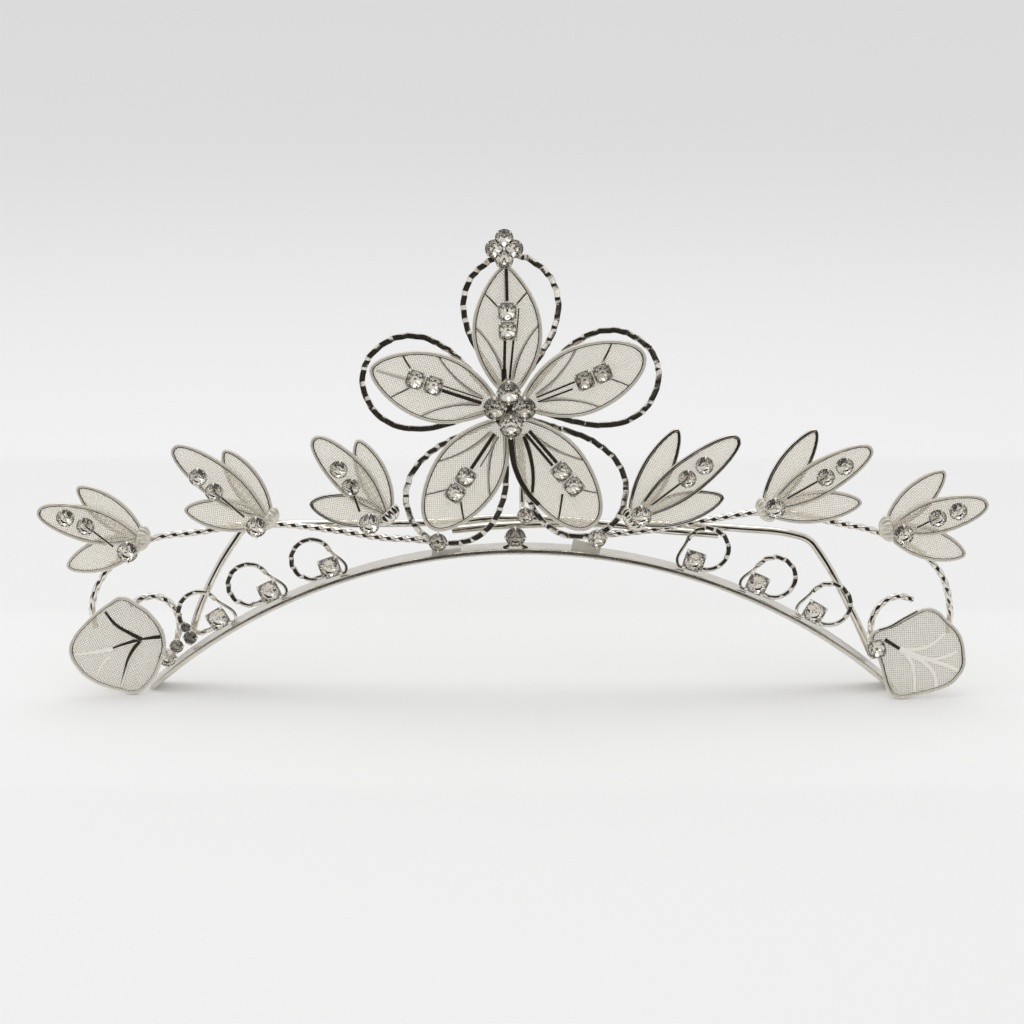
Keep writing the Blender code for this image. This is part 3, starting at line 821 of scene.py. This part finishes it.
# Heading, length, and crimp: its depth, its length and the share of its longer flat.
LOOPS = {
    "top": (89.5, 24.2, (0.42, 2.2, 0.62)),
    "left": (165, 23.8, (0.3, 2.3, 0.65)),
    "right": (17.5, 24.2, (0.32, 2.3, 0.65)),
    "lower_left": (237.5, 24.5, (0.4, 2.3, 0.68)),
    "lower_right": (309.7, 24.7, (0.38, 2.2, 0.68)),
}
LOOP_HALF = ((2.6, 0.9), (5.6, 2.8), (8.9, 5.0), (13.0, 6.9), (18.0, 7.2), (22.0, 4.8), (24.0, 0))

# A paler painted shade: a greyer copy of the crystal for stones in light shade.
light_painted_shade_crystal = lead_crystal("greying_lead_crystal", "#E4E0DA", "#BFBAB2")

LOOP_STONE = 3.0
LOOP_STEP = 0.15
# Place and glass of each loop's stone, and width and line of the tab that it sits on.
# The lower left stone's greyer crystal is a painted shade.
LOOP_STONES = {
    "lower_left": ((-11.4, -21.3), light_painted_shade_crystal, 1.3, ((-12.4, -23.1), (-10.2, -23.2), (-7.8, -22.9))),
    "lower_right": ((13.8, -20.7), crystal, 2.4, ((9.8, -22.1), (12.0, -22.6), (14.2, -23.2))),
}

# The pliers left fine bright scratches on the flats.
crimped = silver("crimped_silver_wire", "#EBE8E0", "#C8C2B6", (0.05, 0.22), 0.25, 0.02)

crimped_wire = section(*LOOP_WIRE, square=5)
for side, (heading, length, crimp) in LOOPS.items():
    scale = length / LOOP_HALF[-1][0]
    there = [Vector((along, across, 0)) * scale for along, across in LOOP_HALF]
    back = [Vector((point.x, -point.y, 0)) for point in reversed(there[:-1])]
    loop = wire(path(there + back), crimped_wire, crimped, step=LOOP_STEP, crimp=crimp)
    loop.transform(Matrix.Rotation(radians(heading), 4, "Z"))
    meshes = [loop]
    if side in LOOP_STONES:
        place, glass, width, line = LOOP_STONES[side]
        meshes.append(settings([(*place, 0.1)], LOOP_STONE, turn=45, glass=glass))
        tab = path([(*point, 0.2) for point in line])
        meshes.append(wire(tab, section(width, 0.4, square=5), satin, step=0.2))
    add_piece("petal_loop_" + side, meshes, FLOWER_PLANE)


# ---- the petal stems ----
# A doubled silver-plated wire along each petal. Two small stones in square cups, which
# touch, are soldered on top of it.

STEM_LAYER = 1.9
STEM_HEIGHT = 0.5
# Heading of each stem, and its wires: start, end, offset at each of them, thickness.
STEMS = {
    "top": (
        91.5,
        (
            (4.4, 11.2, 0.8, 0.5, 0.52), (4.4, 11.2, 0, -0.85, 0.38), (17.2, 22.6, 0, 0, 0.56),
            (11, 16, -1.3, -1.8, 0.3), (4.6, 6.6, 0.8, 0.8, 0.9),
        ),
    ),
    "left": (161.5, ((4.6, 11.3, 0.3, 0.35, 0.62), (4.6, 11.3, -0.4, -0.4, 0.34))),
    "right": (22.4, ((4.6, 11.3, 0.35, 0.35, 0.4), (4.6, 10.4, -0.4, -0.55, 0.4))),
    "lower_left": (236.5, ((4.4, 11.3, 0, 0, 0.62), (4.4, 10.0, 0.8, 1.0, 0.3))),
    "lower_right": (310, ((4.4, 11.3, 0.25, 0.3, 0.6), (4.4, 11.0, -0.5, -0.5, 0.5))),
}
PETAL_STONES = (12.6, 15.6)
PETAL_STONE = 2.95

for side, (heading, wires) in STEMS.items():
    meshes = []
    for start, end, offset, end_offset, thickness in wires:
        line = path([(start, offset, STEM_HEIGHT), (end, end_offset, STEM_HEIGHT)], "POLY")
        meshes.append(wire(line, section(thickness, STEM_HEIGHT, square=5), plate))
    places = [(distance, 0, 0.2) for distance in PETAL_STONES]
    # The right petal's stem stones take the greyer crystal, a painted shade.
    glass = light_painted_shade_crystal if side == "right" else crystal
    meshes.append(settings(places, PETAL_STONE, square=SQUARE, glass=glass))
    plane = on_plane(FLOWER_PLANE, (0, 0, STEM_LAYER), heading)
    add_piece("petal_stem_" + side, meshes, plane)


# ---- the flower's stones ----
# Four round stones over the flower's middle, soldered to one small plate, and four more in
# a tight lozenge at the tip of the top petal.

CENTRE_PLATE = 5.8
PLATE_BACK, PLATE_FRONT = STEM_LAYER + 0.1, STEM_LAYER + 0.62
CENTRE_STONE = 3.7
# Two of the centre stones take the greyer crystal, a painted shade.
CENTRE_STONES = (
    (-0.2, 3.0, crystal), (-2.4, 0.5, light_painted_shade_crystal), (2.3, 0.5, light_painted_shade_crystal), (0.15, -2.4, crystal),
)
TIP_STONE = 2.95
TIP_STONES = ((-0.9, 27.0), (-2.45, 25.35), (0.65, 25.35), (-0.9, 23.7))

disc = path([(0, 0, PLATE_BACK), (0, 0, PLATE_FRONT)], "POLY")
meshes = [wire(disc, section(CENTRE_PLATE, CENTRE_PLATE, sides=32), crimped)]
for x, y, glass in CENTRE_STONES:
    meshes.append(settings([(x, y, STEM_LAYER + 0.6)], CENTRE_STONE, turn=45, glass=glass))
add_piece("flower_centre", meshes, FLOWER_PLANE)
tip_places = [(x, y, STEM_LAYER) for x, y in TIP_STONES]
add_piece("tip_cluster", [settings(tip_places, TIP_STONE)], FLOWER_PLANE)


# ---- the sprays ----
# Three gauze leaves gathered in a fluted cap on the branch wire. A stem wire with two
# stones lies along the middle leaf, and a larger stone covers the foot of the spray.

SPRAY_LAYER = 1.7
CAP_LAYER = 2.2
# Half width, sharpness of the foot and of the tip, and place in the fan's depth, of each leaf.
SPRAY_LEAVES = ((2.95, 0.95, 0.45, 0.45), (2.5, 0.62, 0.62, 0.0), (2.7, 0.62, 0.6, 0.17))
SPRAY_RIM = 0.52
SPRAY_FOOT_STONE = 3.4
SPRAY_STONE = 2.95
SPRAY_STONE_PITCH = 3.4
SPRAY_STEM = 0.4
SPRAY_STEM_FOOT = (2.4, 0.25, 0.6)
# From the middle of each spray's foot stone: the collar and the tips of its three leaves, then
# the first stone along the stem and its offset across. Last, the looks of the rims and the cap.
SPRAYS = (
    ((2.6, 1.5), (-14.4, 6.2), (-8.0, 10.1), (-10.1, -3.1), (7.6, -1.25), (satin, satin, satin), satin),
    ((2.3, 0.4), (-13.1, 12.5), (-5.1, 12.0), (-11.6, 2.3), (8.6, 0.4), (satin, satin, satin), satin),
    ((3.3, 0.4), (-8.8, 13.6), (-1.9, 13.2), (-9.6, 2.8), (6.5, -0.8), (satin, satin, plate), plate),
    ((-1.7, -1.5), (15.4, 12.3), (5.8, 13.6), (13.2, 2.6), (9.3, 0.2), (plate, plate, plate), plate),
    ((-1.8, -1.1), (15.3, 9.4), (6.5, 12.3), (14.0, 0.5), (9.3, 0.15), (satin, plate, satin), satin),
    ((-2.8, 0.3), (13.6, 4.7), (6.6, 9.9), (10.4, -3.9), (5.9, 0.8), (satin, satin, satin), satin),
)

# Radius and place along of each ring of a cap, and the places of its two poles.
CAP_RINGS = ((0.7, -0.75), (1.4, -0.5), (1.95, 0.0), (2.2, 0.5), (2.15, 1.2), (1.8, 1.4))
CAP_POLES = (-0.8, 1.1)
CAP_FLUTES = 14
CAP_FLATNESS = 0.5


def fluted_cap():
    """A fluted cap along x, flattened towards the leaves that it gathers."""
    sides = CAP_FLUTES * 6
    rings = []
    for radius, along in CAP_RINGS:
        rings.append([])
        for i in range(sides):
            turn = 2 * pi * i / sides
            fluted = radius * (1 - 0.16 * abs(cos(CAP_FLUTES * turn / 2)) ** 3)
            point = Vector((along, fluted * cos(turn), CAP_FLATNESS * fluted * sin(turn)))
            rings[-1].append(point * MM)
    foot, mouth = (Vector((along, 0, 0)) * MM for along in CAP_POLES)
    shape = ringed(foot, rings, mouth).data
    shape.polygons.foreach_set("use_smooth", [True] * len(shape.polygons))
    shape.materials.append(satin)
    return shape


cap = fluted_cap()
for number, (collar, *tips, stem_stone, rim_looks, cap_look) in enumerate(SPRAYS, 1):
    base = stone_place(f"spray_stone_{number}")
    collar, *tips = (base + Vector((*point, 0)) for point in (collar, *tips))
    headings = [degrees(atan2(tip.y - collar.y, tip.x - collar.x)) for tip in tips]
    meshes = []
    for tip, heading, rim_look, shape in zip(tips, headings, rim_looks, SPRAY_LEAVES):
        half_width, sharpness, tip_sharpness, depth = shape
        length = (tip - collar).length
        outline = pointed_outline(0.3, length, half_width, sharpness, tip_sharpness, steps=14)
        plane = on_plane(Matrix.Identity(4), (collar.x, collar.y, SPRAY_LAYER + depth), heading)
        for mesh in leaf(outline, 0, (), 0, SPRAY_RIM, rim_look, steps=2):
            mesh.transform(plane)
            meshes.append(mesh)
    cap_mesh = cap.copy()
    cap_mesh.materials[0] = cap_look
    cap_mesh.transform(on_plane(Matrix.Identity(4), (collar.x, collar.y, CAP_LAYER), headings[0]))
    add_piece(f"spray_leaves_{number}", [*meshes, cap_mesh])

    heading = degrees(atan2(tips[0].y - base.y, tips[0].x - base.x))
    along, across = stem_stone
    stem = path([SPRAY_STEM_FOOT, (along, across, SPRAY_STEM_FOOT[2])], "POLY")
    places = [(along, across, 0), (along + SPRAY_STONE_PITCH, across, 0)]
    meshes = [wire(stem, section(SPRAY_STEM, SPRAY_STEM, square=4), plate), settings(places, SPRAY_STONE)]
    add_piece(f"spray_stem_{number}", meshes, on_plane(FRONT_PLANE, base, heading))
    stone = settings([base], SPRAY_FOOT_STONE, turn=45)
    add_piece(f"spray_stone_{number}", [stone])


# ---- the scrolls ----
# A curl of crimped wire for each square-set stone. Its straight leg is flattened, folded
# under the stone's cup and soldered to the band.

SCROLL_WIRE = (0.72, 0.55)
SCROLL_CRIMP = (0.36, 1.8, 0.72)
SCROLL_LEG = (0.5, 0.35)
SCROLL_FOOT, SCROLL_BEND = (-0.8, 0.3), (-2.0, 0.55)
SCROLL_SWEEP = range(172, -110, -25)  # degrees round each curl, from its leg
SCROLL_LAYER = 0.9
SCROLL_STONE = 3.4
# The middle of each loop, outwards from its stone and over the band, and its radius.
SCROLLS = (
    (2.5, 4.1, 3.2), (2.7, 4.4, 3.3), (2.3, 4.5, 3.3),
    (1.6, 4.4, 3.45), (2.4, 4.05, 3.35), (1.8, 4.3, 3.45),
)

scroll_section = section(*SCROLL_WIRE, square=5)
leg_section = section(*SCROLL_LEG, square=4)
for number, (out, lift, radius) in enumerate(SCROLLS, 1):
    stone = stone_place(f"scroll_stone_{number}")
    across, up = stone.x - BAND_MIDDLE_X, stone.y - BAND_CENTRE_HEIGHT
    angle = degrees(atan2(across, up))
    side = 1 if angle > 0 else -1
    curl = []
    for turn in SCROLL_SWEEP:
        x, y = radius * cos(radians(turn)), radius * sin(radians(turn))
        curl.append(((x + out) * side, y + lift, 0))
    loop = wire(path(curl), scroll_section, crimped, step=0.12, crimp=SCROLL_CRIMP)
    foot, bend = ((x * side, y, 0) for x, y in (SCROLL_FOOT, SCROLL_BEND))
    leg = wire(path([foot, bend, curl[0]]), leg_section, plate, step=0.3)
    plane = on_plane(FRONT_PLANE, on_band(angle, 0, SCROLL_LAYER), -angle)
    add_piece(f"scroll_{number}", [loop, leg], plane)
    plane = on_plane(FRONT_PLANE, on_band(angle, hypot(across, up) - BAND_TOP_RADIUS, stone.z), -angle)
    cup = settings([(0, 0, 0)], SCROLL_STONE, square=SQUARE)
    add_piece(f"scroll_stone_{number}", [cup], plane)


# ---- the ends ----
# A broad gauze leaf at each end of the band, which the tiara stands on, a curl of twisted
# wire over it, and small stones between leaf and band.

# Place across and height of each leaf's foot, how far forward it stands, its lean, its heading,
# its length, and how much its veins thin towards their ends.
END_LEAVES = {
    "left": (-55.4, 8.92, 4.2, 8, 187.7, 15.7, 0.45),
    "right": (58.3, 9.5, 6.5, 18, -18.2, 14.3, 0.9),
}
# Shares of the leaf's length, and the half widths above and below there.
END_OUTLINES = {
    "left": (
        (0.0, 1.4, 2.2), (0.10, 4.5, 4.2), (0.22, 6.9, 6.1), (0.38, 8.2, 7.7), (0.51, 7.6, 7.0),
        (0.69, 6.4, 5.4), (0.83, 5.0, 3.8), (0.94, 3.0, 2.1), (1.0, 0.6, 0.5),
    ),
    "right": (
        (-0.12, 0.5, 0.4), (-0.02, 1.6, 2.0), (0.05, 2.3, 3.2), (0.10, 2.9, 4.2), (0.17, 4.0, 5.8),
        (0.25, 5.2, 7.4), (0.32, 6.2, 8.2), (0.40, 7.0, 8.2), (0.51, 7.1, 7.5), (0.66, 6.1, 6.2),
        (0.81, 5.0, 4.8), (0.90, 3.6, 3.7), (0.96, 1.9, 2.4), (1.0, 0.4, 1.0),
    ),
}
END_BIAS = 20
END_SCROLLS = {
    "left": (
        (-61.3, 13.6, 0.6), (-59.0, 14.9, 0.4), (-56.2, 14.7, 0), (-53.8, 11.6, -0.35),
        (-54.6, 5.4, -0.35),
    ),
    "right": (
        (57.7, 5.6, 0.7), (57.2, 9.6, 0.7), (57.9, 12.6, 0.7), (59.7, 14.6, 0.7),
        (61.9, 15.2, 0.7), (63.8, 14.6, 0.7),
    ),
}

# The broad leaves' gauze is a darker copy of the petals' gauze.
darker_gauze = silver("dulled_silver_gauze", "#E9E4D6", "#D6CFBF", (0.4, 0.6), 0.5, 0.003, metallic=0.22)

# The deepest painted shade: a nearly black copy of the crystal for stones in deep shade.
deep_painted_shade_crystal = lead_crystal("flaked_lead_crystal", "#8A857D", "#4A4640")

END_STONE = 2.9
END_STONE_IN, END_STONE_UP = 0.8, 0.5  # from its CAD block
# Width, look and points of each vein, along and across the leaf and over its gauze.
# Their white matt veins carry a painted highlight.
END_VEINS = {
    "left": (
        (1.0, plate, ((0.5, -0.35), (2.6, -0.4), (4.4, -0.4))),
        (0.95, plate, ((3.9, -0.4), (5.63, -1.68), (7.5, -3.23), (8.93, -5.6))),
        (0.95, plate, ((4.0, -0.4), (7.14, 0.1), (9.0, 0.5))),
        (0.7, painted_highlight_white, ((8.6, 0.4), (12.2, 0.6), (14.9, 0.55))),
        (0.95, plate, ((4.0, -0.3), (6.1, 2.07), (7.4, 4.85), (8.2, 6.76))),
        (0.5, painted_highlight_white, ((9.4, 1.6), (10.8, 2.9), (11.7, 4.3))),
    ),
    "right": (
        (0.7, plate, ((0.8, 0.1), (3.57, -0.6))),
        (0.45, plate, ((-0.6, 1.2, 0.3), (0.8, 2.2, 0.3), (2.6, 4.2, 0.3), (4.3, 6.0, 0.3))),
        (0.95, painted_highlight_white, ((3.5, -0.6), (4.79, -0.8), (5.6, -0.8))),
        (0.55, painted_highlight_white, ((4.2, -0.7), (7.78, 1.29), (9.69, 4.13))),
        (0.68, painted_highlight_white, ((4.2, -0.8), (8.47, -0.8), (11.0, -0.81), (13.7, -1.0))),
        (0.5, painted_highlight_white, ((8.6, -0.8), (10.6, 0.33), (12.3, 1.8))),
        (0.62, painted_highlight_white, ((4.4, -0.9), (8.45, -1.7), (9.98, -2.83), (10.9, -4.7))),
        (0.58, painted_highlight_white, ((4.4, -0.9), (6.0, -2.2), (6.6, -3.1), (7.8, -6.2))),
    ),
}

for side, (x, height, forward, lean, heading, length, taper) in END_LEAVES.items():
    outline = [(share * length, above, below) for share, above, below in END_OUTLINES[side]]
    lean_plane = on_plane(FRONT_PLANE, (0, 0, forward)) @ Matrix.Rotation(radians(-lean), 4, "X")
    plane = on_plane(lean_plane, (x, height, 0), heading)
    meshes = leaf(outline, 0, END_VEINS[side], END_BIAS, cloth_look=darker_gauze, taper=taper)
    add_piece("end_leaf_" + side, meshes, plane)
    if side == "right":
        # Its one stone leans back as the leaf does.
        spot = stone_place("end_stone_right")
        place = (spot.x - END_STONE_IN, (spot.y + END_STONE_UP) / cos(radians(lean)), 0.2)
        stone = settings([place], END_STONE, SQUARE, turn=12)
        add_piece("end_stone_right", [stone], lean_plane)
    curl = wire(path(END_SCROLLS[side]), square_wire, twisted, step=BRANCH_STEP, turn=BRANCH_TURN)
    add_piece("end_scroll_" + side, [curl])

# Angle on the band, lift over it, width and look of each small stone at the left end.
# Their smoky and nearly black crystals are painted shade.
END_STONES = (
    (-38.2, 1.7, 3.0, crystal),
    (-36.75, 2.3, 2.3, painted_shade_crystal),
    (-35.1, 2.2, 2.3, deep_painted_shade_crystal),
    (-34.9, 3.9, 1.7, deep_painted_shade_crystal),
)
END_STONES_LAYER = 1.65
meshes = []
for angle, lift, across, glass in END_STONES:
    place = on_band(angle, lift, END_STONES_LAYER)
    meshes.append(settings([place], across, turn=45, glass=glass))
add_piece("end_stones_left", meshes)


# ---- the studio ----
# A pale table that runs on behind the tiara, and soft lights over it, at its left and in front.
# Silver shows what stands around it, so black flags, which nothing else sees, give it dark lines.

for leftover in [item for item in bpy.data.objects if item.name.startswith("helper")]:
    bpy.data.objects.remove(leftover)

ROOM_LIGHT = 0.87
world = bpy.data.worlds.new("pale_room")
world.use_nodes = True
node(world.node_tree, world.node_tree.nodes["Background"], [linear("#F4F4F5"), ROOM_LIGHT])
bpy.context.scene.world = world
bpy.context.scene.view_settings.view_transform = "Standard"


def sheet(name, corners, look):
    """A flat sheet of four corners that belongs to the studio, not to the tiara."""
    mesh = bpy.data.meshes.new(name)
    mesh.from_pydata(corners, [], [(0, 1, 2, 3)])
    mesh.materials.append(look)
    made = add_object(name, mesh)
    made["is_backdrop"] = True
    return made


TABLE_REACH = 6
paper, add, shader = material("matt_white_paper")
add(shader, {"Base Color": linear("#F2F2F1"), "Roughness": 0.9})
table_corners = [(x * TABLE_REACH, y * TABLE_REACH, 0) for x, y in ((-1, -1), (1, -1), (1, 1), (-1, 1))]
sheet("table", table_corners, paper).location.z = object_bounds()[0].z

TARGET = Vector((-0.24, 2.1, 28.91)) * MM
CAMERA_DISTANCE = 451.5 * MM
CAMERA_ELEVATION = radians(14.5)
lens = bpy.data.cameras.new("camera")
lens.lens = 100
lens.sensor_width = 36
lens.clip_start, lens.clip_end = 0.05, 20
camera = add_object("camera", lens)
camera.location = TARGET + CAMERA_DISTANCE * Vector((0, -cos(CAMERA_ELEVATION), sin(CAMERA_ELEVATION)))
camera.rotation_euler = (pi / 2 - CAMERA_ELEVATION, 0, 0)
bpy.context.scene.camera = camera


def softbox(name, place, size, power, spread=180):
    """A square soft light that faces the tiara, its beam narrowed to a spread in degrees."""
    light = bpy.data.lights.new(name, "AREA")
    light.size = size
    light.energy = power
    light.spread = radians(spread)
    made = add_object(name, light)
    made.location = place
    made.rotation_euler = (TARGET - Vector(place)).to_track_quat("-Z", "Y").to_euler()


softbox("overhead_light", (0, 0.2, 0.95), 0.7, 0.35, spread=60)
softbox("left_light", (-0.9, -0.1, 0.6), 0.6, 0.8)
softbox("front_light", (0.1, -1.3, 0.55), 1.0, 1.2)

# Black velvet: it gives back next to no light.
velvet, add, shader = material("black_velvet")
add(shader, {"Base Color": linear("#26211C"), "Roughness": 1})

# Depth, height and half width of two edges of each flag.
FLAGS = {
    "back_floor_flag": ((0.16, 0.001, 0.26), (0.045, 0.001, 0.16)),
    "front_floor_flag": ((-0.16, 0.001, 0.26), (-0.045, 0.001, 0.16)),
    "front_flag": ((-0.16, 0.001, 0.26), (-0.18, 0.15, 0.26)),
}
for name, ((y, z, half), (y_2, z_2, half_2)) in FLAGS.items():
    corners = [(-half, y, z), (half, y, z), (half_2, y_2, z_2), (-half_2, y_2, z_2)]
    flag = sheet(name, corners, velvet)
    flag.visible_camera = flag.visible_diffuse = flag.visible_shadow = False
